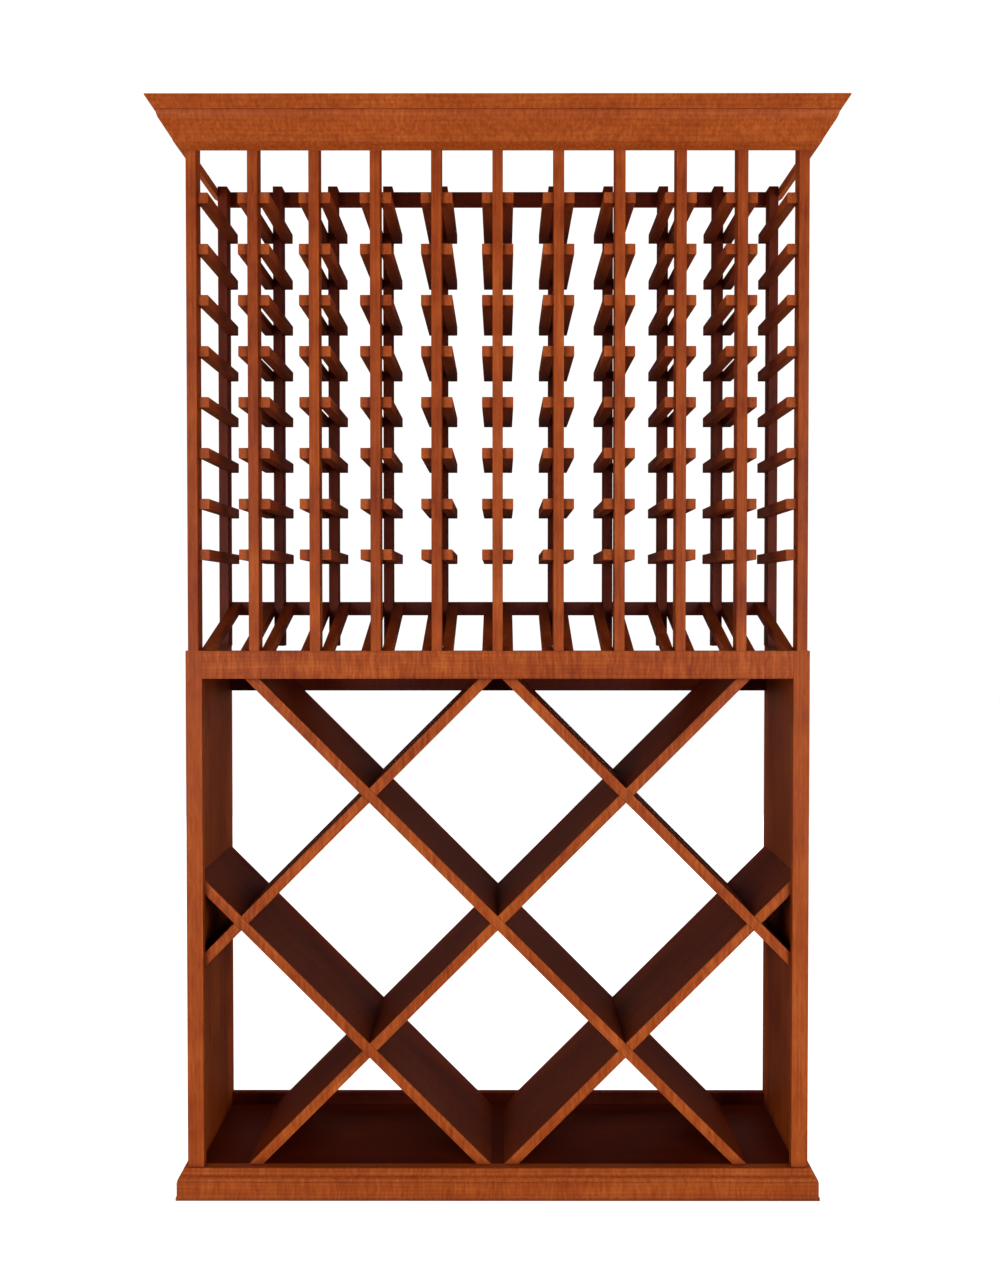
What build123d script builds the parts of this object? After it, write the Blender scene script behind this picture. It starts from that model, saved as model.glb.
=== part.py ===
from build123d import *
import os

# Free-standing wooden wine rack: a rack of single-bottle cells with a sloped display row,
# standing on a case of diamond bins.
# +Z is up, +X is to the right seen from the front, and the front faces -Y.
# The origin is on the floor, under the middle of the whole rack. All sizes are in millimetres.

# ---------------------------------------------------------------- sizes: wood stock
stock = 17.5                    # thickness of every strip, board and panel
upright_depth = 38.0            # front-to-back size of an upright
edge_round = 1.2                # radius on the handled edges

# ---------------------------------------------------------------- sizes: upper rack
column_count = 10
column_pitch = 102.0            # from one column line to the next
ladder_depth = 321.5            # front of the front uprights to back of the back uprights
row_count = 8
row_pitch = 85.0
lowest_row_height = 170.0       # top of the lowest bottle rails above the case
top_row_room = 85.0             # top of the highest bottle rails below the tops of the uprights
rail_width = 17.5               # left to right
rail_height = 17.5
rail_front_inset = 11.0         # rail end behind the front of the upright
rail_back_inset = 23.5          # rail end in front of the back of the upright
cross_rail_height = 25.5
display_rise = 82.0             # top of the display cross rail above the case

# ---------------------------------------------------------------- sizes: crown
crown_overlap = 19.0            # foot of the crown below the tops of the uprights
crown_height = 76.0
crown_projection = 55.3         # how far the crown stands out at its top
crown_lip_projection = 16.5
crown_lip_height = 10.3
crown_fillet_projection = 18.0  # narrow strip between the lip and the long slope
crown_fillet_height = 13.8
crown_slope_projection = 35.8   # where the long slope turns into the shoulder
crown_slope_height = 41.0
crown_shoulder_projection = 38.9
crown_shoulder_height = 47.3
crown_neck_projection = 40.4    # where the shoulder ends, under the band
crown_neck_height = 55.2
crown_band_foot_projection = 43.3
crown_band_foot_height = 56.0
crown_band_height = 73.8        # top of the sloped band
crown_land_height = 15.4        # flat back of the crown against the uprights
crown_top_width = 13.5

# ---------------------------------------------------------------- sizes: case
case_height = 923.0
case_side_step = 4.25           # how far each side of the case stands out past the rack above
stile_width = 27.5
top_rail_height = 47.0
floor_height = 50.0             # top of the floor panel
back_top_rail_height = 64.0
back_top_rail_drop = 21.5       # its top edge below the top of the case
back_bottom_rail_height = 72.0

# ---------------------------------------------------------------- sizes: lattice
diamond_half = 217.1            # half a diamond, corner to centre
lattice_centre_height = 410.4   # middle diamond's lowest crossing line above the floor panel
lap_clearance = 0.2             # gap left all round in the half laps

# ---------------------------------------------------------------- sizes: base moulding
base_height = 51.0
base_projection = 16.0
base_foot_projection = 17.5
base_foot_height = 5.0
base_foot_chamfer = 3.0
base_face_height = 30.0
base_step = 0.8
base_round_projection = 10.6
base_round_height = 38.5
base_neck_projection = 6.6
base_neck_height = 46.8
base_top_chamfer = 1.2

# ---------------------------------------------------------------- sizes: fasteners
dowel_radius = 3.0
dowel_depth = 12.0              # length of a dowel in each of the two pieces
display_dowel_shift = 2.5       # dowels of the display rails off the rails' centres, inwards
frame_dowel_spread = 8.0        # half the distance between the two dowels in a frame joint
side_dowel_margin = 90.0        # first and last dowel of a side joint from the ends
side_dowel_count = 4
floor_dowel_count = 3
brad_radius = 0.6
brad_head_radius = 1.1
brad_head_height = 0.8
brad_bite = 7.5                 # length of a brad in the piece behind
brad_stagger = 3.0              # left and right rails are nailed this far above and below centre
screw_radius = 1.9
screw_head_radius = 3.9
screw_head_height = 2.6
screw_bite = 17.5               # length of a screw in the piece behind
screw_point = 4.0
screw_hole_clearance = 0.25     # radial room round a screw in the piece under its head
moulding_brad_height = 8.0      # brads of the crown above its foot
base_brad_height = 18.0         # brads of the base moulding above the floor
base_brad_count = 7

# ---------------------------------------------------------------- derived places
rack_width = column_count * column_pitch + stock
case_width = rack_width + 2 * case_side_step
depth = ladder_depth + stock
front = crown_projection - (crown_projection + depth) / 2      # front plane of the uprights
back = front + depth                                           # back plane of the rack
frame_back = front + stock                                     # back of the face frame
rear_rail_front = back - stock                                 # front of every rear rail
upright_back = front + ladder_depth
half_rack = rack_width / 2
half_case = case_width / 2
half_inside = half_case - stock
row_tops = [case_height + lowest_row_height + row * row_pitch for row in range(row_count)]
ladder_top = row_tops[-1] + top_row_room
crown_foot = ladder_top - crown_overlap
front_upright_centre = front + upright_depth / 2
back_upright_centre = upright_back - upright_depth / 2
rail_front = front + rail_front_inset
rail_back = upright_back - rail_back_inset
ladder_places = [(number - column_count / 2) * column_pitch for number in range(column_count + 1)]
column_places = [(number + 0.5 - column_count / 2) * column_pitch for number in range(column_count)]
rail_offset = (column_pitch - stock - rail_width) / 2          # rail centre from its column centre
frame_dowel_place = front + stock / 2
rear_dowel_place = rear_rail_front + stock / 2
top_rail_foot = case_height - top_rail_height
back_top_rail_top = case_height - back_top_rail_drop
back_top_rail_foot = back_top_rail_top - back_top_rail_height
lattice_centre = floor_height + lattice_centre_height
lattice_top = back_top_rail_top
lattice_depth = rear_rail_front - frame_back
display_slope = display_rise / (rear_rail_front - frame_back)
display_drop = rail_height * (1 + display_slope ** 2) ** 0.5   # upright thickness of a sloped rail

# Brad lines: in the middle of the stretch where a rail lies against an upright.
front_brad_line = (rail_front + front + upright_depth) / 2
back_brad_line = (rail_back + upright_back - upright_depth) / 2
display_brad_line = back_upright_centre
display_brad_height = (
    case_height + display_slope * (display_brad_line - frame_back) - display_drop / 2
)

# The slats fall to the right or climb to the right, three of each, one diamond apart.
slat_shifts = [-2 * diamond_half, 0.0, 2 * diamond_half]

os.makedirs("parts", exist_ok=True)


def save(piece, node):
    """Label a finished piece and write it under its node name."""
    piece.part.label = node
    export_step(piece.part, "parts/" + node + ".step")


def board(x_low, x_high, y_low, y_high, z_low, z_high):
    """A square-cut board between six planes, added to the part being built."""
    with BuildSketch(Plane.XY.offset(z_low)) as outline:
        with Locations(((x_low + x_high) / 2, (y_low + y_high) / 2)):
            Rectangle(x_high - x_low, y_high - y_low)
    extrude(outline.sketch, amount=z_high - z_low)


def drill_x(places, x_from, x_to, radius, mode=Mode.SUBTRACT):
    """Round holes, or pins, along X at (y, z) places."""
    with BuildSketch(Plane.YZ.offset(x_from)) as outline:
        with Locations(*places):
            Circle(radius)
    extrude(outline.sketch, amount=x_to - x_from, mode=mode)


def drill_y(places, y_from, y_to, radius, mode=Mode.SUBTRACT):
    """Round holes, or pins, along Y at (x, z) places."""
    with BuildSketch(Plane.XZ.offset(-y_from)) as outline:
        with Locations(*places):
            Circle(radius)
    extrude(outline.sketch, amount=y_from - y_to, mode=mode)


def drill_z(places, z_from, z_to, radius, mode=Mode.SUBTRACT):
    """Round holes, or pins, along Z at (x, y) places."""
    with BuildSketch(Plane.XY.offset(z_from)) as outline:
        with Locations(*places):
            Circle(radius)
    extrude(outline.sketch, amount=z_to - z_from, mode=mode)


# ---------------------------------------------------------------- places of the fasteners
row_centres = [top - rail_height / 2 for top in row_tops]
left_rail_brads = [z + brad_stagger for z in row_centres]      # rails on the left of a column
right_rail_brads = [z - brad_stagger for z in row_centres]     # rails on the right of a column
top_cross_height = ladder_top - cross_rail_height / 2
display_cross_height = case_height + display_rise - cross_rail_height / 2
display_dowel_height = case_height - display_drop / 2
display_rail_places = [
    column + side * rail_offset for column in column_places for side in (-1, 1)
]
display_dowel_places = [
    column + side * (rail_offset - display_dowel_shift) for column in column_places for side in (-1, 1)
]
top_rail_dowels = [
    case_height - top_rail_height / 2 + side * frame_dowel_spread for side in (-1, 1)
]
bottom_rail_dowels = [floor_height / 2 + side * frame_dowel_spread for side in (-1, 1)]
back_top_dowels = [
    back_top_rail_foot + back_top_rail_height / 2 + side * 2 * frame_dowel_spread for side in (-1, 1)
]
back_bottom_dowels = [
    back_bottom_rail_height / 2 + side * 2 * frame_dowel_spread for side in (-1, 1)
]
floor_dowel_line = floor_height - stock / 2
floor_dowel_step = lattice_depth / (floor_dowel_count + 1)
floor_dowels = [frame_back + (number + 1) * floor_dowel_step for number in range(floor_dowel_count)]
side_dowel_step = (case_height - 2 * side_dowel_margin) / (side_dowel_count - 1)
side_dowels = [side_dowel_margin + number * side_dowel_step for number in range(side_dowel_count)]
panel_dowel_x = (half_inside + half_rack) / 2                  # outer back upright over the side panel
panel_x = half_case - stock / 2


# ---------------------------------------------------------------- upper rack: uprights
def upright(node, ladder, centre_y, brad_line, has_back_screws):
    """One upright of a ladder, with the holes for its rails, dowels and screws."""
    x = ladder_places[ladder]
    x_left = x - stock / 2
    x_right = x + stock / 2
    y_low = centre_y - upright_depth / 2
    y_high = centre_y + upright_depth / 2
    is_first = ladder == 0
    is_last = ladder == column_count
    with BuildPart() as piece:
        board(x_left, x_right, y_low, y_high, case_height, ladder_top)
        fillet(piece.edges().filter_by(Axis.Z), radius=edge_round)
        if not is_first:
            drill_x([(brad_line, z) for z in right_rail_brads], x_left, x_left + brad_bite, brad_radius)
        if not is_last:
            drill_x([(brad_line, z) for z in left_rail_brads], x_right - brad_bite, x_right, brad_radius)
        if has_back_screws:
            display_place = [(display_brad_line, display_brad_height - brad_stagger)]
            if not is_first:
                drill_x(display_place, x_left, x_left + brad_bite, brad_radius)
            display_place = [(display_brad_line, display_brad_height + brad_stagger)]
            if not is_last:
                drill_x(display_place, x_right - brad_bite, x_right, brad_radius)
            screw_places = [(x, top_cross_height), (x, display_cross_height)]
            drill_y(screw_places, y_high, y_high - screw_bite, screw_radius)
            if is_first or is_last:
                dowel_x = -panel_dowel_x if is_first else panel_dowel_x
                drill_z([(dowel_x, centre_y)], case_height, case_height + dowel_depth, dowel_radius)
        else:
            drill_z([(x, frame_dowel_place)], case_height, case_height + dowel_depth, dowel_radius)
            crown_place = [(x, crown_foot + moulding_brad_height)]
            drill_y(crown_place, y_low + brad_bite, y_low, brad_radius)
        if is_first or is_last:
            # The crown's return is nailed to the outer face of the outer uprights.
            outer = x_left if is_first else x_right
            inner = outer + brad_bite if is_first else outer - brad_bite
            brad_place = [(centre_y, crown_foot + moulding_brad_height)]
            drill_x(brad_place, min(outer, inner), max(outer, inner), brad_radius)
    save(piece, node)


for ladder in range(column_count + 1):
    upright(f"front_upright_{ladder + 1:02d}", ladder, front_upright_centre, front_brad_line, False)
    upright(f"back_upright_{ladder + 1:02d}", ladder, back_upright_centre, back_brad_line, True)


# ---------------------------------------------------------------- upper rack: bottle rails
def bottle_rails(node, column_x):
    """The sixteen rails of one column: a pair for each row, nailed to the uprights beside it."""
    with BuildPart() as piece:
        with BuildSketch(Plane.XZ.offset(-rail_back)):
            for side in (-1, 1):
                with Locations(*[(column_x + side * rail_offset, z) for z in row_centres]):
                    Rectangle(rail_width, rail_height)
        extrude(amount=rail_back - rail_front)
        fillet(piece.edges().filter_by(Axis.Y), radius=edge_round)
        for line in (front_brad_line, back_brad_line):
            for side, heights in ((-1, left_rail_brads), (1, right_rail_brads)):
                inner = column_x + side * (rail_offset - rail_width / 2)
                outer = column_x + side * (rail_offset + rail_width / 2)
                head_end = inner + side * brad_head_height
                places = [(line, z) for z in heights]
                drill_x(places, min(inner, outer), max(inner, outer), brad_radius)
                drill_x(places, min(inner, head_end), max(inner, head_end), brad_head_radius)
    save(piece, node)


for column in range(column_count):
    bottle_rails(f"bottle_rails_{column + 1:02d}", column_places[column])

# ---------------------------------------------------------------- upper rack: display rails
# Each rail lies between the face frame's top rail and the display cross rail. Its low end
# is flush with the top of the case, and its high end with the top of the cross rail.
with BuildPart() as display_rails:
    for rail_x in display_rail_places:
        with BuildSketch(Plane.YZ.offset(rail_x - rail_width / 2)):
            with BuildLine():
                Polyline(
                    (frame_back, case_height),
                    (rear_rail_front, case_height + display_rise),
                    (rear_rail_front, case_height + display_rise - display_drop),
                    (frame_back, case_height - display_drop),
                    close=True,
                )
            make_face()
        extrude(amount=rail_width)
    long_edges = display_rails.edges().filter_by(lambda edge: edge.length > lattice_depth)
    fillet(long_edges, radius=edge_round)
    drill_y(
        [(x, display_dowel_height) for x in display_dowel_places],
        frame_back + dowel_depth,
        frame_back,
        dowel_radius,
    )
    for column_x in column_places:
        for side in (-1, 1):
            inner = column_x + side * (rail_offset - rail_width / 2)
            outer = column_x + side * (rail_offset + rail_width / 2)
            head_end = inner + side * brad_head_height
            place = [(display_brad_line, display_brad_height - side * brad_stagger)]
            drill_x(place, min(inner, outer), max(inner, outer), brad_radius)
            drill_x(place, min(inner, head_end), max(inner, head_end), brad_head_radius)
save(display_rails, "display_rails")


# ---------------------------------------------------------------- upper rack: cross rails
def rear_screws(places, shank_radius, length, point, mode):
    """Countersunk screws, or their holes, from the back face of the rack at (x, z) places."""
    head_slope = screw_head_height / (screw_head_radius - screw_radius)
    head_depth = (screw_head_radius - shank_radius) * head_slope
    for x, z in places:
        with BuildSketch(Plane.XY.offset(z)) as outline:
            with BuildLine():
                Polyline(
                    (x, back),
                    (x + screw_head_radius, back),
                    (x + shank_radius, back - head_depth),
                    (x + shank_radius, back - length + point),
                    (x, back - length),
                    close=True,
                )
            make_face()
        revolve(outline.sketch, axis=Axis((x, back, z), (0, 1, 0)), mode=mode)


def rear_screw_holes(places):
    """Clearance holes with countersinks, right through a rear rail."""
    rear_screws(places, screw_radius + screw_hole_clearance, stock, 0.0, Mode.SUBTRACT)


def rear_rail(node, half_width, z_low, z_high, screw_places, dowel_heights):
    """A rail along the back of the rack, with its screw holes and end dowel holes."""
    with BuildPart() as piece:
        board(-half_width, half_width, rear_rail_front, back, z_low, z_high)
        fillet(piece.edges().filter_by(Axis.X), radius=edge_round)
        rear_screw_holes(screw_places)
        places = [(rear_dowel_place, z) for z in dowel_heights]
        if places:
            drill_x(places, -half_width, -half_width + dowel_depth, dowel_radius)
            drill_x(places, half_width - dowel_depth, half_width, dowel_radius)
    save(piece, node)


top_cross_screws = [(x, top_cross_height) for x in ladder_places]
display_cross_screws = [(x, display_cross_height) for x in ladder_places]
rear_rail(
    "top_cross_rail", half_rack, ladder_top - cross_rail_height, ladder_top, top_cross_screws, []
)
rear_rail(
    "display_cross_rail",
    half_rack,
    case_height + display_rise - cross_rail_height,
    case_height + display_rise,
    display_cross_screws,
    [],
)


# ---------------------------------------------------------------- mitred mouldings
# Section of the crown: local x is how far it stands out, local y is height above its foot.
with BuildSketch() as crown_section:
    with BuildLine():
        Polyline(
            (0, 0),
            (crown_lip_projection, crown_lip_height),
            (crown_fillet_projection, crown_fillet_height),
            (crown_slope_projection, crown_slope_height),
        )
        ThreePointArc(
            (crown_slope_projection, crown_slope_height),
            (crown_shoulder_projection, crown_shoulder_height),
            (crown_neck_projection, crown_neck_height),
        )
        Polyline(
            (crown_neck_projection, crown_neck_height),
            (crown_band_foot_projection, crown_band_foot_height),
            (crown_projection, crown_band_height),
            (crown_projection, crown_height),
            (crown_projection - crown_top_width, crown_height),
            (0, crown_land_height),
            (0, 0),
        )
    make_face()

# Section of the base moulding: local x is how far it stands out, local y is height.
arc_share = 0.5 ** 0.5
base_round_width = base_projection - base_step - base_round_projection
base_round_rise = base_round_height - base_face_height
base_round_middle = (
    base_round_projection + base_round_width * arc_share,
    base_face_height + base_round_rise * arc_share,
)
base_cove_middle = (
    base_round_projection - (base_round_projection - base_neck_projection) * arc_share,
    base_neck_height - (base_neck_height - base_round_height) * arc_share,
)
with BuildSketch() as base_section:
    with BuildLine():
        Polyline(
            (0, 0),
            (base_foot_projection, 0),
            (base_foot_projection, base_foot_height),
            (base_projection, base_foot_height + base_foot_chamfer),
            (base_projection, base_face_height),
            (base_projection - base_step, base_face_height),
        )
        ThreePointArc(
            (base_projection - base_step, base_face_height),
            base_round_middle,
            (base_round_projection, base_round_height),
        )
        ThreePointArc(
            (base_round_projection, base_round_height),
            base_cove_middle,
            (base_neck_projection, base_neck_height),
        )
        Polyline(
            (base_neck_projection, base_neck_height),
            (base_neck_projection, base_height - base_top_chamfer),
            (base_neck_projection - base_top_chamfer, base_height),
            (0, base_height),
            (0, 0),
        )
    make_face()


def mitred_front(node, profile, projection, half_width, foot, brad_places):
    """The front length of a moulding, mitred at both ends."""
    section = Plane(origin=(0, front, foot), x_dir=(0, -1, 0), z_dir=(-1, 0, 0))
    with BuildPart() as piece:
        with BuildSketch(section):
            add(profile)
        extrude(amount=half_width + projection, both=True)
        for side in (-1, 1):
            mitre = Plane(origin=(side * half_width, front, 0), z_dir=(-side, -1, 0))
            split(bisect_by=mitre, keep=Keep.TOP)
        for x, z, reach in brad_places:
            drill_y([(x, z)], front, front - reach, brad_radius)
            drill_y([(x, z)], front - reach + brad_head_height, front - reach, brad_head_radius)
    save(piece, node)


def mitred_return(node, profile, projection, side, half_width, foot, brad_places):
    """A side length of a moulding, mitred at its front end and cut square at the back."""
    section = Plane(origin=(side * half_width, back, foot), x_dir=(side, 0, 0), z_dir=(0, -side, 0))
    mitre = Plane(origin=(side * half_width, front, 0), z_dir=(side, 1, 0))
    with BuildPart() as piece:
        with BuildSketch(section):
            add(profile)
        extrude(amount=side * (depth + projection))
        split(bisect_by=mitre, keep=Keep.TOP)
        for y, z, reach in brad_places:
            skin = side * (half_width + reach)
            inside = side * half_width
            seat = skin - side * brad_head_height
            drill_x([(y, z)], min(skin, inside), max(skin, inside), brad_radius)
            drill_x([(y, z)], min(skin, seat), max(skin, seat), brad_head_radius)
    save(piece, node)


# The crown is nailed through its lip into every front upright and both outer back uprights.
crown_brad_height = crown_foot + moulding_brad_height
crown_brad_reach = moulding_brad_height * crown_lip_projection / crown_lip_height
crown_front_brads = [(x, crown_brad_height, crown_brad_reach) for x in ladder_places]
crown_side_brads = [
    (y, crown_brad_height, crown_brad_reach) for y in (front_upright_centre, back_upright_centre)
]
crown = (crown_section.sketch, crown_projection)
mitred_front("crown_front", *crown, half_rack, crown_foot, crown_front_brads)
mitred_return("crown_return_left", *crown, -1, half_rack, crown_foot, crown_side_brads)
mitred_return("crown_return_right", *crown, 1, half_rack, crown_foot, crown_side_brads)

base_brad_step = 2 * half_inside / base_brad_count
base_front_brads = [
    (-half_inside + (number + 0.5) * base_brad_step, base_brad_height, base_projection)
    for number in range(base_brad_count)
]
base_side_brads = [(y, base_brad_height, base_projection) for y in floor_dowels]
base = (base_section.sketch, base_foot_projection)
mitred_front("base_moulding_front", *base, half_case, 0, base_front_brads)
mitred_return("base_moulding_left", *base, -1, half_case, 0, base_side_brads)
mitred_return("base_moulding_right", *base, 1, half_case, 0, base_side_brads)


# ---------------------------------------------------------------- case: sides, stiles and rails
def side_panel(node, side):
    """A side of the case, behind the face frame, with the dowel holes of its neighbours."""
    inner = side * half_inside
    outer = side * half_case
    hole_end = side * (half_inside + dowel_depth)
    with BuildPart() as piece:
        board(min(inner, outer), max(inner, outer), frame_back, back, 0, case_height)
        back_edges = piece.edges().filter_by(Axis.Z).group_by(Axis.Y)[-1]
        fillet(back_edges, radius=edge_round)
        rear_places = [(rear_dowel_place, z) for z in back_top_dowels + back_bottom_dowels]
        floor_places = [(y, floor_dowel_line) for y in floor_dowels]
        drill_x(
            rear_places + floor_places, min(inner, hole_end), max(inner, hole_end), dowel_radius
        )
        drill_y(
            [(side * panel_x, z) for z in side_dowels],
            frame_back + dowel_depth,
            frame_back,
            dowel_radius,
        )
        drill_z(
            [(side * panel_dowel_x, back_upright_centre)],
            case_height - dowel_depth,
            case_height,
            dowel_radius,
        )
        brad_end = outer - side * brad_bite
        brad_places = [(y, base_brad_height) for y in floor_dowels]
        drill_x(brad_places, min(outer, brad_end), max(outer, brad_end), brad_radius)
    save(piece, node)


def stile(node, side):
    """An upright of the face frame, in front of a side panel."""
    inner = side * (half_case - stile_width)
    outer = side * half_case
    hole_end = inner + side * dowel_depth
    with BuildPart() as piece:
        board(min(inner, outer), max(inner, outer), front, frame_back, 0, case_height)
        front_edges = piece.edges().filter_by(Axis.Z).group_by(Axis.Y)[0]
        fillet(front_edges, radius=edge_round)
        places = [(frame_dowel_place, z) for z in top_rail_dowels + bottom_rail_dowels]
        drill_x(places, min(inner, hole_end), max(inner, hole_end), dowel_radius)
        drill_y(
            [(side * panel_x, z) for z in side_dowels],
            frame_back,
            frame_back - dowel_depth,
            dowel_radius,
        )
        drill_z(
            [(side * ladder_places[-1], frame_dowel_place)],
            case_height - dowel_depth,
            case_height,
            dowel_radius,
        )
    save(piece, node)


side_panel("case_side_left", -1)
side_panel("case_side_right", 1)
stile("case_stile_left", -1)
stile("case_stile_right", 1)

half_frame = half_case - stile_width
with BuildPart() as case_top_rail:
    board(-half_frame, half_frame, front, frame_back, top_rail_foot, case_height)
    front_edges = case_top_rail.edges().filter_by(Axis.X).group_by(Axis.Y)[0]
    fillet(front_edges, radius=edge_round)
    places = [(frame_dowel_place, z) for z in top_rail_dowels]
    drill_x(places, -half_frame, -half_frame + dowel_depth, dowel_radius)
    drill_x(places, half_frame - dowel_depth, half_frame, dowel_radius)
    drill_z(
        [(x, frame_dowel_place) for x in ladder_places[1:-1]],
        case_height - dowel_depth,
        case_height,
        dowel_radius,
    )
    drill_y(
        [(x, display_dowel_height) for x in display_dowel_places],
        frame_back,
        frame_back - dowel_depth,
        dowel_radius,
    )
save(case_top_rail, "case_top_rail")

with BuildPart() as case_bottom_rail:
    board(-half_frame, half_frame, front, frame_back, 0, floor_height)
    places = [(frame_dowel_place, z) for z in bottom_rail_dowels]
    drill_x(places, -half_frame, -half_frame + dowel_depth, dowel_radius)
    drill_x(places, half_frame - dowel_depth, half_frame, dowel_radius)
    for x, z, reach in base_front_brads:
        drill_y([(x, z)], front + brad_bite, front, brad_radius)
save(case_bottom_rail, "case_bottom_rail")

with BuildPart() as case_floor:
    board(
        -half_inside, half_inside, frame_back, rear_rail_front, floor_height - stock, floor_height
    )
    places = [(y, floor_dowel_line) for y in floor_dowels]
    drill_x(places, -half_inside, -half_inside + dowel_depth, dowel_radius)
    drill_x(places, half_inside - dowel_depth, half_inside, dowel_radius)
save(case_floor, "case_floor")

# ---------------------------------------------------------------- lattice
# A falling slat keeps x + z constant along its centre line, and a climbing slat keeps x - z
# constant, with z measured from the lattice centre. They are screwed from behind wherever
# their end crosses a rear rail.
top_screw_height = back_top_rail_foot + back_top_rail_height / 2
bottom_screw_height = (floor_height + back_bottom_rail_height) / 2


def slat_screw_places(shift, lean):
    """The (x, z) places where a slat crosses the rear rails inside the case."""
    found = []
    for height in (top_screw_height, bottom_screw_height):
        x = shift + lean * (height - lattice_centre)
        if abs(x) < half_inside - stock:
            found.append((x, height))
    return found


def slat(node, shift, lean):
    """One slat of the lattice: lean is -1 when it falls to the right and 1 when it climbs."""
    notch_front = frame_back + lattice_depth / 2 if lean < 0 else frame_back
    notch_width = stock + 2 * lap_clearance
    long_side = 2 * (half_case + case_height)
    section = Plane(
        origin=(0, rear_rail_front, lattice_centre), x_dir=(1, 0, 0), z_dir=(0, -1, 0)
    )
    notch_plane = Plane(
        origin=(0, notch_front, lattice_centre), x_dir=(1, 0, 0), z_dir=(0, 1, 0)
    )
    with BuildPart() as piece:
        with BuildSketch(section):
            with Locations((shift, 0)):
                Rectangle(long_side, stock, rotation=lean * 45)
            with Locations((0, (floor_height + lattice_top) / 2 - lattice_centre)):
                Rectangle(2 * half_inside, lattice_top - floor_height, mode=Mode.INTERSECT)
        extrude(amount=lattice_depth)
        front_edges = piece.edges().group_by(Axis.Y)[0].sort_by(SortBy.LENGTH)[-2:]
        fillet(front_edges, radius=edge_round)
        crossings = [
            ((shift + other) / 2, lean * (other - shift) / 2) for other in slat_shifts
        ]
        with BuildSketch(notch_plane):
            for x, z in crossings:
                with Locations((x, -z)):
                    Rectangle(notch_width, notch_width, rotation=45)
        extrude(amount=lattice_depth / 2, mode=Mode.SUBTRACT)
        places = slat_screw_places(shift, lean)
        drill_y(places, rear_rail_front, rear_rail_front - screw_bite, screw_radius)
    save(piece, node)


for number, shift in enumerate(slat_shifts, start=1):
    slat(f"slat_falling_{number}", shift, -1)
    slat(f"slat_climbing_{number}", shift, 1)

slat_screws = [
    place for shift in slat_shifts for lean in (-1, 1) for place in slat_screw_places(shift, lean)
]
rear_rail(
    "case_back_top_rail",
    half_inside,
    back_top_rail_foot,
    back_top_rail_top,
    [place for place in slat_screws if place[1] == top_screw_height],
    back_top_dowels,
)
rear_rail(
    "case_back_bottom_rail",
    half_inside,
    0,
    back_bottom_rail_height,
    [place for place in slat_screws if place[1] == bottom_screw_height],
    back_bottom_dowels,
)

# ---------------------------------------------------------------- fasteners
with BuildPart() as rear_screw_set:
    rear_screws(
        top_cross_screws + display_cross_screws + slat_screws,
        screw_radius,
        stock + screw_bite,
        screw_point,
        Mode.ADD,
    )
save(rear_screw_set, "rear_screws")

with BuildPart() as dowels:
    # Under the front uprights, and under the two outer back uprights.
    drill_z(
        [(x, frame_dowel_place) for x in ladder_places]
        + [(side * panel_dowel_x, back_upright_centre) for side in (-1, 1)],
        case_height - dowel_depth,
        case_height + dowel_depth,
        dowel_radius,
        Mode.ADD,
    )
    # In the low ends of the display rails.
    drill_y(
        [(x, display_dowel_height) for x in display_dowel_places],
        frame_back + dowel_depth,
        frame_back - dowel_depth,
        dowel_radius,
        Mode.ADD,
    )
    # Between the stiles and the side panels.
    drill_y(
        [(side * panel_x, z) for side in (-1, 1) for z in side_dowels],
        frame_back + dowel_depth,
        frame_back - dowel_depth,
        dowel_radius,
        Mode.ADD,
    )
    # In the ends of the face frame's rails, the rear rails and the floor.
    for side in (-1, 1):
        frame_end = side * half_frame
        inside_end = side * half_inside
        drill_x(
            [(frame_dowel_place, z) for z in top_rail_dowels + bottom_rail_dowels],
            frame_end - dowel_depth,
            frame_end + dowel_depth,
            dowel_radius,
            Mode.ADD,
        )
        drill_x(
            [(rear_dowel_place, z) for z in back_top_dowels + back_bottom_dowels]
            + [(y, floor_dowel_line) for y in floor_dowels],
            inside_end - dowel_depth,
            inside_end + dowel_depth,
            dowel_radius,
            Mode.ADD,
        )
save(dowels, "dowels")


def brad_along_x(places, x_head, direction, length):
    """Brads along X at (y, z) places: direction is the way the point goes."""
    tip = x_head + direction * length
    seat = x_head + direction * brad_head_height
    drill_x(places, min(x_head, tip), max(x_head, tip), brad_radius, Mode.ADD)
    drill_x(places, min(x_head, seat), max(x_head, seat), brad_head_radius, Mode.ADD)


with BuildPart() as rail_brads:
    for column_x in column_places:
        for side, heights in ((-1, left_rail_brads), (1, right_rail_brads)):
            head = column_x + side * (rail_offset - rail_width / 2)
            places = [(line, z) for z in heights for line in (front_brad_line, back_brad_line)]
            places.append((display_brad_line, display_brad_height - side * brad_stagger))
            brad_along_x(places, head, side, rail_width + brad_bite)
save(rail_brads, "rail_brads")

with BuildPart() as moulding_brads:
    for x, z, reach in crown_front_brads + base_front_brads:
        drill_y([(x, z)], front + brad_bite, front - reach, brad_radius, Mode.ADD)
        drill_y(
            [(x, z)], front - reach + brad_head_height, front - reach, brad_head_radius, Mode.ADD
        )
    for side in (-1, 1):
        for half_width, places in ((half_rack, crown_side_brads), (half_case, base_side_brads)):
            for y, z, reach in places:
                skin = side * (half_width + reach)
                brad_along_x([(y, z)], skin, -side, reach + brad_bite)
save(moulding_brads, "moulding_brads")
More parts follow.
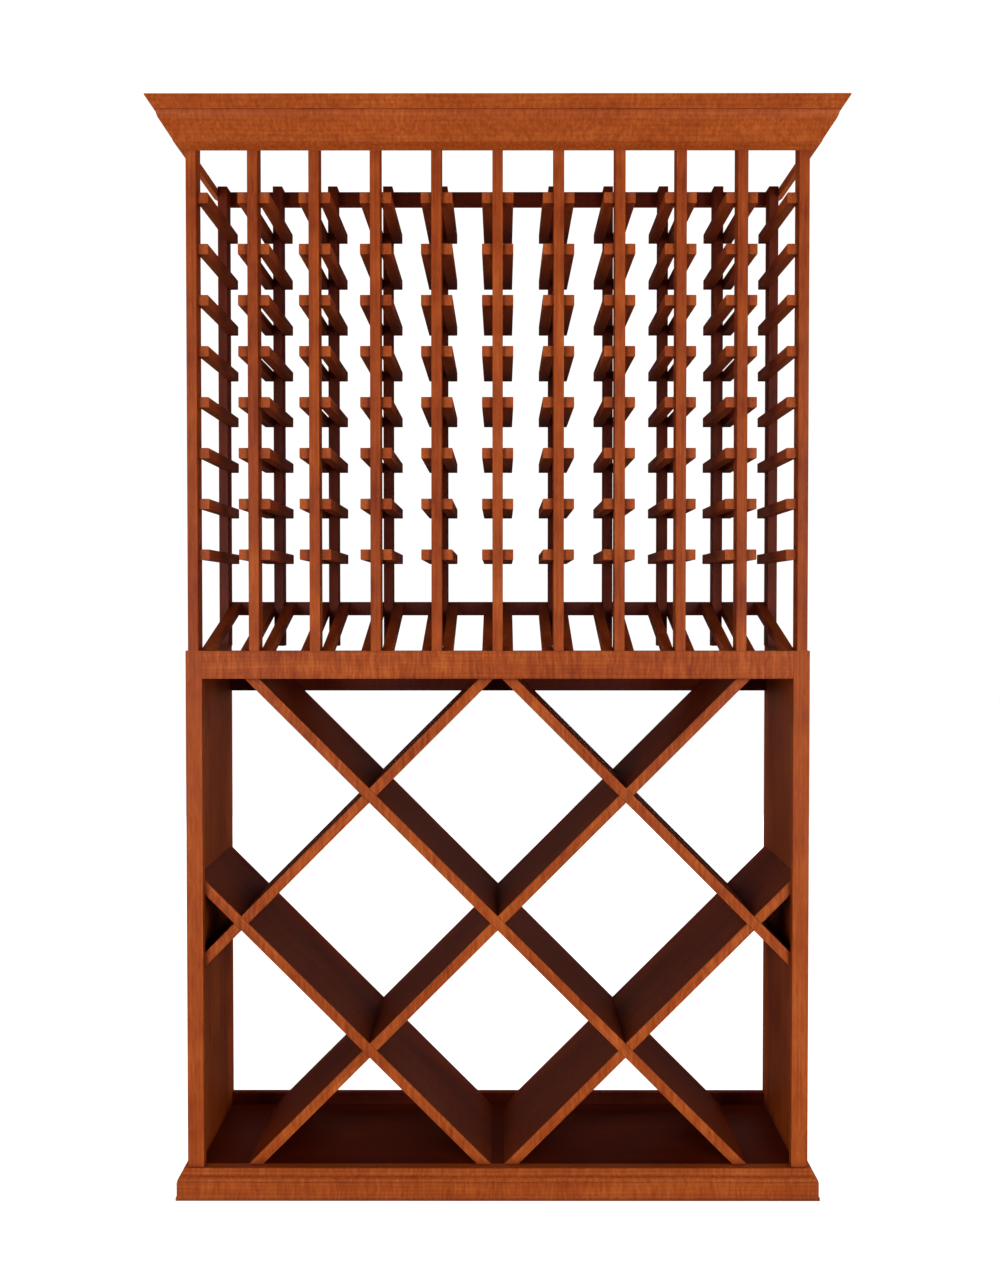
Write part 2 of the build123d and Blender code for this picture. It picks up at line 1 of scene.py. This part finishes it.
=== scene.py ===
import bpy
from math import pi, radians
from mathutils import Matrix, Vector


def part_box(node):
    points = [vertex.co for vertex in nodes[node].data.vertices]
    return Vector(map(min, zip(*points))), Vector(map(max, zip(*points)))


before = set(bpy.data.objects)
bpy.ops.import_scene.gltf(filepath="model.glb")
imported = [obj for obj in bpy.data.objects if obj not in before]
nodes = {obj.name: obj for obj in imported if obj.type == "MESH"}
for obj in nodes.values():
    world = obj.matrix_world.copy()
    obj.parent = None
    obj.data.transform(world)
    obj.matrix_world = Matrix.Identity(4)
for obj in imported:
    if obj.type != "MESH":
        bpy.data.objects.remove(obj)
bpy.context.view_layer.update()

# ---------------------------------------------------------------- sizes read from the frame
first_low, first_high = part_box("front_upright_01")
rails_low, rails_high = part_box("bottle_rails_01")
COLUMN_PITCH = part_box("front_upright_02")[0].x - first_low.x
STOCK = first_high.x - first_low.x
RACK_EDGE = first_low.x
ROW_COUNT = 8
ROW_PITCH = (rails_high.z - rails_low.z - STOCK) / (ROW_COUNT - 1)
FRONT = first_low.y
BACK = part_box("case_side_left")[1].y
LATTICE_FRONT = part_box("slat_falling_1")[0].y
EVERYWHERE = 10.0               # a cell this large holds the whole rack

# ---------------------------------------------------------------- colours, linear
STAIN_DARK = (0.250, 0.034, 0.0062, 1.0)
STAIN_MIDDLE = (0.440, 0.080, 0.0125, 1.0)
STAIN_LIGHT = (0.66, 0.158, 0.030, 1.0)
# lighter edges: wear, and a painted highlight on the rounded edges
EDGE_WEAR_HIGHLIGHT_COLOUR = (0.72, 0.190, 0.036, 1.0)
# colour of the pores in the grain, and of the painted shade in corners and creases
PORE_AND_SHADE_COLOUR = (0.085, 0.010, 0.0035, 1.0)
PAINTED_SHADE_TINT = (0.26, 0.13, 0.09, 1.0)     # painted shade: multiplies the colour inside the rack, more towards the back
FLOOR_DARK = (0.30, 0.30, 0.30, 1.0)
FLOOR_LIGHT = (0.34, 0.34, 0.34, 1.0)
WHITE = (1.0, 1.0, 1.0, 1.0)

# ---------------------------------------------------------------- stained wood, in metres
# Texture scales: the first number is along the grain, the others across it.
FIBRE_SCALE = (7.0, 300.0, 300.0)
BAND_SCALE = (2.2, 24.0, 24.0)
PORE_SCALE = (90.0, 1500.0, 1500.0)
RING_SCALE = (0.22, 1.0, 1.0)
STREAK_SCALE = (190.0, 190.0, 24.0)     # along x, y and z: short upright streaks
STREAK_SWAY = (0.02, 0.02, 0.0)
BOARD_SHIFT = (5.0, 3.0, 4.0)           # how far apart two boards lie in the texture
BAND_AMOUNT = 0.34
RING_AMOUNT = 0.05
BOARD_AMOUNT = 0.08
PORE_AMOUNT = 0.38
# Painted shade inside the rack, set by depth: where it starts, where it ends, and where it stops
# short.
SHADE_START = 0.012             # behind the front of the rack
SHADE_END = 0.02                # in front of the back of the case
OUTER_SKIN = 0.0008             # outer faces are this far past where the painted shade ends
FRONT_SKIN = 0.0006             # and so are the front edges of the lattice
REAR_FACE_SHADE = 0.25          # share of the painted shade left on faces turned to the back
# reach of the painted shade in corners and creases
CORNER_SHADE_REACH = 0.014
EDGE_RADIUS = 0.0011


class Graph:
    """A material's node tree, with short ways to add and join its nodes."""

    def __init__(self, name):
        self.material = bpy.data.materials.new(name)
        self.material.use_nodes = True
        self.tree = self.material.node_tree
        self.shader = self.tree.nodes["Principled BSDF"]
        self.place = self.add("ShaderNodeTexCoord").outputs["Object"]

    def add(self, kind, **settings):
        node = self.tree.nodes.new(kind)
        for key, value in settings.items():
            setattr(node, key, value)
        return node

    def join(self, value, socket):
        """Puts a number, a colour or another node's output on a socket."""
        if isinstance(value, bpy.types.NodeSocket):
            self.tree.links.new(value, socket)
        else:
            socket.default_value = value

    def math(self, operation, a, b=0.0, c=0.0, clamp=False):
        node = self.add("ShaderNodeMath", operation=operation, use_clamp=clamp)
        for value, socket in zip((a, b, c), node.inputs):
            self.join(value, socket)
        return node.outputs[0]

    def vector(self, operation, a, b=(0.0, 0.0, 0.0)):
        node = self.add("ShaderNodeVectorMath", operation=operation)
        self.join(a, node.inputs[0])
        self.join(b, node.inputs[1])
        return node.outputs["Value" if operation == "DOT_PRODUCT" else "Vector"]

    def turned(self, vector, rotation=(0.0, 0.0, 0.0), scale=(1.0, 1.0, 1.0)):
        node = self.add("ShaderNodeMapping")
        self.join(vector, node.inputs["Vector"])
        node.inputs["Rotation"].default_value = rotation
        node.inputs["Scale"].default_value = scale
        return node.outputs["Vector"]

    def noise(self, vector, scale=1.0, detail=2.0, roughness=0.5, distortion=0.0):
        node = self.add("ShaderNodeTexNoise")
        self.join(vector, node.inputs["Vector"])
        node.inputs["Scale"].default_value = scale
        node.inputs["Detail"].default_value = detail
        node.inputs["Roughness"].default_value = roughness
        node.inputs["Distortion"].default_value = distortion
        return node.outputs["Fac"]

    def joined(self, value):
        """The same number three times, as a vector."""
        node = self.add("ShaderNodeCombineXYZ")
        for socket in node.inputs:
            self.join(value, socket)
        return node.outputs[0]

    def ramp(self, value, stops):
        node = self.add("ShaderNodeValToRGB")
        self.join(value, node.inputs["Fac"])
        elements = node.color_ramp.elements
        for element, (position, colour) in zip(elements, (stops[0], stops[-1])):
            element.position = position
            element.color = colour
        for position, colour in stops[1:-1]:
            elements.new(position).color = colour
        return node.outputs["Color"]

    def stretch(self, value, low, high, new_low=0.0, new_high=1.0):
        node = self.add("ShaderNodeMapRange", clamp=True)
        for item, socket in zip((value, low, high, new_low, new_high), node.inputs):
            self.join(item, socket)
        return node.outputs["Result"]

    def mix(self, amount, a, b, blend="MIX"):
        node = self.add("ShaderNodeMix", data_type="RGBA", blend_type=blend)
        self.join(amount, node.inputs["Factor"])
        self.join(a, node.inputs["A"])
        self.join(b, node.inputs["B"])
        return node.outputs["Result"]

    def edges(self, radius):
        """0 on flat faces, rising towards 1 on edges and in corners."""
        bevel = self.add("ShaderNodeBevel", samples=4)
        bevel.inputs["Radius"].default_value = radius
        flat = self.add("ShaderNodeNewGeometry").outputs["Normal"]
        same = self.vector("DOT_PRODUCT", bevel.outputs["Normal"], flat)
        return self.math("SUBTRACT", 1.0, same, clamp=True)

    def bump(self, height, strength, distance):
        node = self.add("ShaderNodeBump")
        node.inputs["Strength"].default_value = strength
        node.inputs["Distance"].default_value = distance
        self.join(height, node.inputs["Height"])
        self.join(node.outputs["Normal"], self.shader.inputs["Normal"])


# Turns that bring the direction of the grain onto the first texture axis.
ALONG_X = (0.0, 0.0, 0.0)
ALONG_Y = (0.0, 0.0, -pi / 2)
ALONG_Z = (0.0, pi / 2, 0.0)
FALLING = (0.0, -pi / 4, 0.0)
CLIMBING = (0.0, pi / 4, 0.0)


def stained_wood(
    name, grain, cell, start, value=0.0, figure=0.4, grainy=0.34, cloudy=0.42, painted_shade=(0.0, 1.0)
):
    """Cherry-stained hardwood. Each cell of space holds one board, with a figure of its own.

    value makes the board lighter, figure and grainy set how strong the streaks and the fibre
    are, and cloudy the mottle. The last argument holds the painted shade at the front and at
    the back, from 0 to 1, which darkens the colour inside the rack. Outer faces and front edges
    get none of it, and rear faces little.
    """
    graph = Graph(name)
    moved = graph.vector("SUBTRACT", graph.place, start)
    board = graph.vector("FLOOR", graph.vector("DIVIDE", moved, cell))
    lot = graph.add("ShaderNodeTexWhiteNoise", noise_dimensions="3D")
    graph.join(graph.vector("ADD", board, (0.5, 0.5, 0.5)), lot.inputs["Vector"])
    shift = graph.vector("MULTIPLY", lot.outputs["Color"], BOARD_SHIFT)
    place = graph.vector("ADD", graph.place, shift)
    log = graph.turned(place, rotation=grain)
    fibre = graph.noise(graph.turned(log, scale=FIBRE_SCALE), detail=4.0, roughness=0.62)
    band = graph.noise(graph.turned(log, scale=BAND_SCALE), detail=3.0, distortion=1.2)
    mottle = graph.noise(place, scale=11.0, detail=3.0, roughness=0.55)
    waver = graph.noise(place, scale=16.0, detail=2.0)
    sway = graph.vector("MULTIPLY", graph.joined(waver), STREAK_SWAY)
    swayed = graph.vector("ADD", place, sway)
    streak = graph.noise(graph.turned(swayed, scale=STREAK_SCALE), detail=3.0, roughness=0.6)
    pore = graph.noise(graph.turned(log, scale=PORE_SCALE), detail=1.0)
    rings = graph.add("ShaderNodeTexWave", wave_type="RINGS", rings_direction="X")
    graph.join(graph.turned(log, scale=RING_SCALE), rings.inputs["Vector"])
    rings.inputs["Scale"].default_value = 46.0
    rings.inputs["Distortion"].default_value = 5.0
    rings.inputs["Detail"].default_value = 3.0
    rings.inputs["Detail Scale"].default_value = 0.35
    tone = graph.math("MULTIPLY_ADD", fibre, grainy, 0.5 + value - 0.5 * grainy - 0.5 * figure)
    for layer, amount in (
        (band, BAND_AMOUNT),
        (rings.outputs["Fac"], RING_AMOUNT),
        (mottle, cloudy),
        (lot.outputs["Value"], BOARD_AMOUNT),
    ):
        tone = graph.math("ADD", tone, graph.math("MULTIPLY_ADD", layer, amount, -amount / 2))
    tone = graph.math("MULTIPLY_ADD", streak, figure, tone)
    colour = graph.ramp(tone, [(0.22, STAIN_DARK), (0.5, STAIN_MIDDLE), (0.80, STAIN_LIGHT)])
    pores = graph.stretch(pore, 0.66, 0.78)
    colour = graph.mix(graph.math("MULTIPLY", pores, PORE_AMOUNT), colour, PORE_AND_SHADE_COLOUR)
    # Painted shade: the colour is darkened inside the rack, more towards the back.
    if any(painted_shade):
        apart = graph.add("ShaderNodeSeparateXYZ")
        graph.join(graph.place, apart.inputs[0])
        shade_amount = graph.stretch(apart.outputs["Y"], FRONT + SHADE_START, BACK - SHADE_END, *painted_shade)
        across = graph.math("ABSOLUTE", apart.outputs["X"])
        facing = graph.add("ShaderNodeSeparateXYZ")
        graph.join(graph.add("ShaderNodeNewGeometry").outputs["Normal"], facing.inputs[0])
        # Outer faces and front edges get no painted shade, and rear faces little.
        for shade_mask in (
            graph.math("LESS_THAN", across, -RACK_EDGE - OUTER_SKIN),
            graph.math("GREATER_THAN", apart.outputs["Y"], LATTICE_FRONT + FRONT_SKIN),
            graph.stretch(facing.outputs["Y"], 0.3, 0.7, 1.0, REAR_FACE_SHADE),
        ):
            shade_amount = graph.math("MULTIPLY", shade_amount, shade_mask)
        colour = graph.mix(shade_amount, colour, graph.mix(1.0, colour, PAINTED_SHADE_TINT, "MULTIPLY"))
    # Painted shade: corners and creases darkened by ambient occlusion.
    occlusion = graph.add("ShaderNodeAmbientOcclusion", samples=4)
    occlusion.inputs["Distance"].default_value = CORNER_SHADE_REACH
    corner_shade = graph.stretch(occlusion.outputs["AO"], 0.35, 0.95, 0.72, 0.0)
    colour = graph.mix(corner_shade, colour, PORE_AND_SHADE_COLOUR)
    # Edges lighter, unevenly: partly wear where handling rubbed off stain, partly a painted
    # highlight on the rounded edges.
    edge = graph.stretch(graph.edges(EDGE_RADIUS), 0.04, 0.30)
    uneven_edge = graph.stretch(graph.noise(place, scale=36.0, detail=4.0), 0.38, 0.66, 0.12, 0.62)
    colour = graph.mix(graph.math("MULTIPLY", edge, uneven_edge), colour, EDGE_WEAR_HIGHLIGHT_COLOUR)
    graph.join(colour, graph.shader.inputs["Base Color"])
    sheen = graph.math("MULTIPLY_ADD", fibre, 0.16, 0.33)
    sheen = graph.math("MULTIPLY_ADD", mottle, 0.10, sheen)
    graph.join(sheen, graph.shader.inputs["Roughness"])
    graph.shader.inputs["Specular IOR Level"].default_value = 0.09
    graph.shader.inputs["Coat Weight"].default_value = 0.02
    graph.shader.inputs["Coat Roughness"].default_value = 0.32
    height = graph.math("MULTIPLY_ADD", pores, -0.7, fibre)
    graph.bump(height, 0.22, 0.00035)
    return graph.material


def beech(name):
    """Raw dowel: pale, close-grained, with short flecks."""
    graph = Graph(name)
    fleck = graph.noise(graph.turned(graph.place, scale=(700.0, 700.0, 160.0)), detail=3.0)
    cloud = graph.noise(graph.place, scale=45.0)
    tone = graph.math("MULTIPLY_ADD", cloud, 0.5, graph.math("MULTIPLY", fleck, 0.5))
    colour = graph.ramp(tone, [(0.3, (0.42, 0.25, 0.12, 1.0)), (0.7, (0.66, 0.45, 0.25, 1.0))])
    graph.join(colour, graph.shader.inputs["Base Color"])
    graph.join(graph.math("MULTIPLY_ADD", fleck, 0.2, 0.5), graph.shader.inputs["Roughness"])
    graph.bump(fleck, 0.2, 0.0002)
    return graph.material


def filler(name):
    """Stained stopping over a sunk brad: a little darker than the wood, and dull."""
    graph = Graph(name)
    grit = graph.noise(graph.place, scale=1400.0, detail=2.0)
    cloud = graph.noise(graph.place, scale=120.0)
    tone = graph.math("MULTIPLY_ADD", grit, 0.4, graph.math("MULTIPLY", cloud, 0.6))
    colour = graph.ramp(tone, [(0.3, (0.16, 0.030, 0.009, 1.0)), (0.7, (0.29, 0.062, 0.018, 1.0))])
    graph.join(colour, graph.shader.inputs["Base Color"])
    graph.join(graph.math("MULTIPLY_ADD", grit, 0.2, 0.5), graph.shader.inputs["Roughness"])
    graph.bump(grit, 0.3, 0.0001)
    return graph.material


def zinc(name):
    """Yellowish zinc plating with turning marks and dull patches."""
    graph = Graph(name)
    patch = graph.noise(graph.place, scale=320.0, detail=4.0)
    scratch = graph.noise(graph.turned(graph.place, scale=(2600.0, 240.0, 2600.0)), detail=2.0)
    tone = graph.math("MULTIPLY_ADD", scratch, 0.4, graph.math("MULTIPLY", patch, 0.6))
    colour = graph.ramp(tone, [(0.3, (0.36, 0.33, 0.27, 1.0)), (0.7, (0.62, 0.58, 0.50, 1.0))])
    graph.join(colour, graph.shader.inputs["Base Color"])
    graph.shader.inputs["Metallic"].default_value = 1.0
    graph.join(graph.math("MULTIPLY_ADD", patch, 0.3, 0.25), graph.shader.inputs["Roughness"])
    graph.bump(scratch, 0.25, 0.00008)
    return graph.material


# ---------------------------------------------------------------- materials on the CAD nodes
WHOLE = (EVERYWHERE, EVERYWHERE, EVERYWHERE)
HALF_WAY = (-EVERYWHERE / 2, -EVERYWHERE / 2, -EVERYWHERE / 2)
CURLY = {"figure": 0.85, "grainy": 0.2}     # figure that shows as upright streaks
EVEN = (0.0, 0.0)               # painted shade, front and back: none, the lattice's, and all of it
INNER = (0.75, 0.95)            # the lattice's,
DARK = (1.0, 1.0)               # and all of it
REAR_RAIL_CELL = (EVERYWHERE, EVERYWHERE, 0.13)
REAR_RAIL_START = (-EVERYWHERE / 2, -EVERYWHERE / 2, -0.02)
SIDE_CELL = (0.5, 0.3, 5.0)     # parts the two sides, and each side from its stile
SIDE_START = (-0.75, FRONT + STOCK - 0.3, -1.0)
upright_cells = {
    "cell": (COLUMN_PITCH, 0.2, EVERYWHERE),
    "start": (RACK_EDGE - COLUMN_PITCH / 2, FRONT - 0.03, -EVERYWHERE / 2),
}
rail_cells = {
    "cell": (COLUMN_PITCH / 2, EVERYWHERE, ROW_PITCH),
    "start": (RACK_EDGE + STOCK / 2, -EVERYWHERE / 2, rails_low.z - ROW_PITCH / 2),
}
# The last argument of each board is its painted shade, front and back.
part_wood = {
    "upright": stained_wood("upright_wood", ALONG_Z, value=-0.07, cloudy=0.62, **upright_cells),
    "rail": stained_wood("rail_wood", ALONG_Y, **rail_cells),
    "face_rail": stained_wood("face_rail_wood", ALONG_X, WHOLE, HALF_WAY, **CURLY),
    "rear_rail": stained_wood(
        "rear_rail_wood", ALONG_X, REAR_RAIL_CELL, REAR_RAIL_START, painted_shade=DARK
    ),
    "side": stained_wood("side_wood", ALONG_Z, SIDE_CELL, SIDE_START, painted_shade=(0.2, 0.6)),
    "falling": stained_wood(
        "falling_slat_wood", FALLING, WHOLE, HALF_WAY, painted_shade=INNER, **CURLY
    ),
    "climbing": stained_wood(
        "climbing_slat_wood", CLIMBING, WHOLE, HALF_WAY, painted_shade=INNER, **CURLY
    ),
    "moulding_front": stained_wood(
        "moulding_front_wood", ALONG_X, WHOLE, HALF_WAY,
        value=0.04, figure=0.65, grainy=0.16, cloudy=0.3, painted_shade=EVEN,
    ),
    "moulding_side": stained_wood(
        "moulding_side_wood", ALONG_Y, WHOLE, HALF_WAY, value=0.04, painted_shade=EVEN, cloudy=0.3
    ),
}
other = {"dowels": beech("dowel_beech"), "rear_screws": zinc("screw_zinc")}
other["rail_brads"] = other["moulding_brads"] = filler("brad_filler")


def wood_of(name):
    """The kind of board that a CAD node is."""
    if "upright" in name:
        return "upright"
    if name.startswith("bottle_rails") or name == "display_rails":
        return "rail"
    if "return" in name or name in ("base_moulding_left", "base_moulding_right"):
        return "moulding_side"
    if name in ("crown_front", "base_moulding_front"):
        return "moulding_front"
    if "slat_falling" in name:
        return "falling"
    if "slat_climbing" in name:
        return "climbing"
    if "case_side" in name or "stile" in name:
        return "side"
    if name == "case_top_rail":
        return "face_rail"
    return "rear_rail"


for name, node in nodes.items():
    material = other.get(name) or part_wood[wood_of(name)]
    node.data.materials.clear()
    node.data.materials.append(material)

# ---------------------------------------------------------------- camera
LENS = 42.31                    # millimetres, on a sensor 36 mm wide
SENSOR_WIDTH = 36.0
CAMERA_DISTANCE = 2.5171        # from the front uprights
CAMERA_ASIDE = 0.0068
CAMERA_HEIGHT = 1.0036
CAMERA_DROOP = 1.4228           # degrees below level
CAMERA_TURN = 0.0647            # degrees to the left

scene = bpy.context.scene
camera_data = bpy.data.cameras.new("camera")
camera = bpy.data.objects.new("camera", camera_data)
scene.collection.objects.link(camera)
scene.camera = camera
camera_data.sensor_width = SENSOR_WIDTH
camera_data.lens = LENS
camera.location = (CAMERA_ASIDE, FRONT - CAMERA_DISTANCE, CAMERA_HEIGHT)
camera.rotation_euler = (radians(90.0 - CAMERA_DROOP), 0.0, radians(CAMERA_TURN))

# ---------------------------------------------------------------- floor, world and lights
FLOOR_REACH = 14.0
FLOOR_GLOW = (0.03, 1.0)        # for light that it throws, and as the camera sees it
SKY_LEVEL = (0.035, 1.05)       # the same

floor_mesh = bpy.data.meshes.new("floor")
floor_mesh.from_pydata(
    [
        (-FLOOR_REACH, -FLOOR_REACH, 0.0),
        (FLOOR_REACH, -FLOOR_REACH, 0.0),
        (FLOOR_REACH, FLOOR_REACH, 0.0),
        (-FLOOR_REACH, FLOOR_REACH, 0.0),
    ],
    [],
    [(0, 1, 2, 3)],
)
floor = bpy.data.objects.new("floor", floor_mesh)
scene.collection.objects.link(floor)
floor_graph = Graph("floor_paper")
fine = floor_graph.noise(floor_graph.place, scale=240.0, detail=3.0)
floor_graph.join(
    floor_graph.ramp(fine, [(0.3, FLOOR_DARK), (0.7, FLOOR_LIGHT)]),
    floor_graph.shader.inputs["Base Color"],
)
floor_graph.shader.inputs["Roughness"].default_value = 0.85
floor_graph.shader.inputs["Specular IOR Level"].default_value = 0.1
floor_graph.shader.inputs["Emission Color"].default_value = WHITE
seen = floor_graph.add("ShaderNodeLightPath").outputs["Is Camera Ray"]
floor_graph.join(
    floor_graph.stretch(seen, 0.0, 1.0, *FLOOR_GLOW),
    floor_graph.shader.inputs["Emission Strength"],
)
floor_mesh.materials.append(floor_graph.material)
floor.visible_glossy = False

world = bpy.data.worlds.new("studio")
scene.world = world
world.use_nodes = True
sky = world.node_tree.nodes["Background"]
path = world.node_tree.nodes.new("ShaderNodeLightPath")
level = world.node_tree.nodes.new("ShaderNodeMapRange")
world.node_tree.links.new(path.outputs["Is Camera Ray"], level.inputs["Value"])
level.inputs["To Min"].default_value, level.inputs["To Max"].default_value = SKY_LEVEL
world.node_tree.links.new(level.outputs["Result"], sky.inputs["Strength"])
sky.inputs["Color"].default_value = WHITE


def soft_box(name, place, target, width, height, power, glossy=False):
    """A rectangular area light at place, facing target, in metres and watts."""
    data = bpy.data.lights.new(name, "AREA")
    data.shape = "RECTANGLE"
    data.size = width
    data.size_y = height
    data.energy = power
    light = bpy.data.objects.new(name, data)
    scene.collection.objects.link(light)
    light.location = place
    light.rotation_euler = (Vector(target) - Vector(place)).to_track_quat("-Z", "Y").to_euler()
    light.visible_glossy = glossy


FRONT_TARGET = (0.0, FRONT, 1.0)
BACK_TARGET = (0.0, BACK, 1.0)
MIDDLE_TARGET = (0.0, 0.0, 1.0)
for side, name in ((-1, "soft_box_left"), (1, "soft_box_right")):
    soft_box(name, (side * 1.75, -4.1, 1.1), FRONT_TARGET, 1.0, 2.0, 75.0, glossy=True)
    soft_box(name + "_rear", (side * 1.3, 4.4, 1.3), BACK_TARGET, 1.4, 2.0, 55.0)
    soft_box(name + "_flank", (side * 3.8, 0.6, 1.2), MIDDLE_TARGET, 1.4, 2.0, 60.0)
soft_box("soft_box_above", (0.0, 0.6, 4.2), MIDDLE_TARGET, 2.4, 1.4, 36.0)

scene.view_settings.view_transform = "Standard"
scene.view_settings.look = "None"
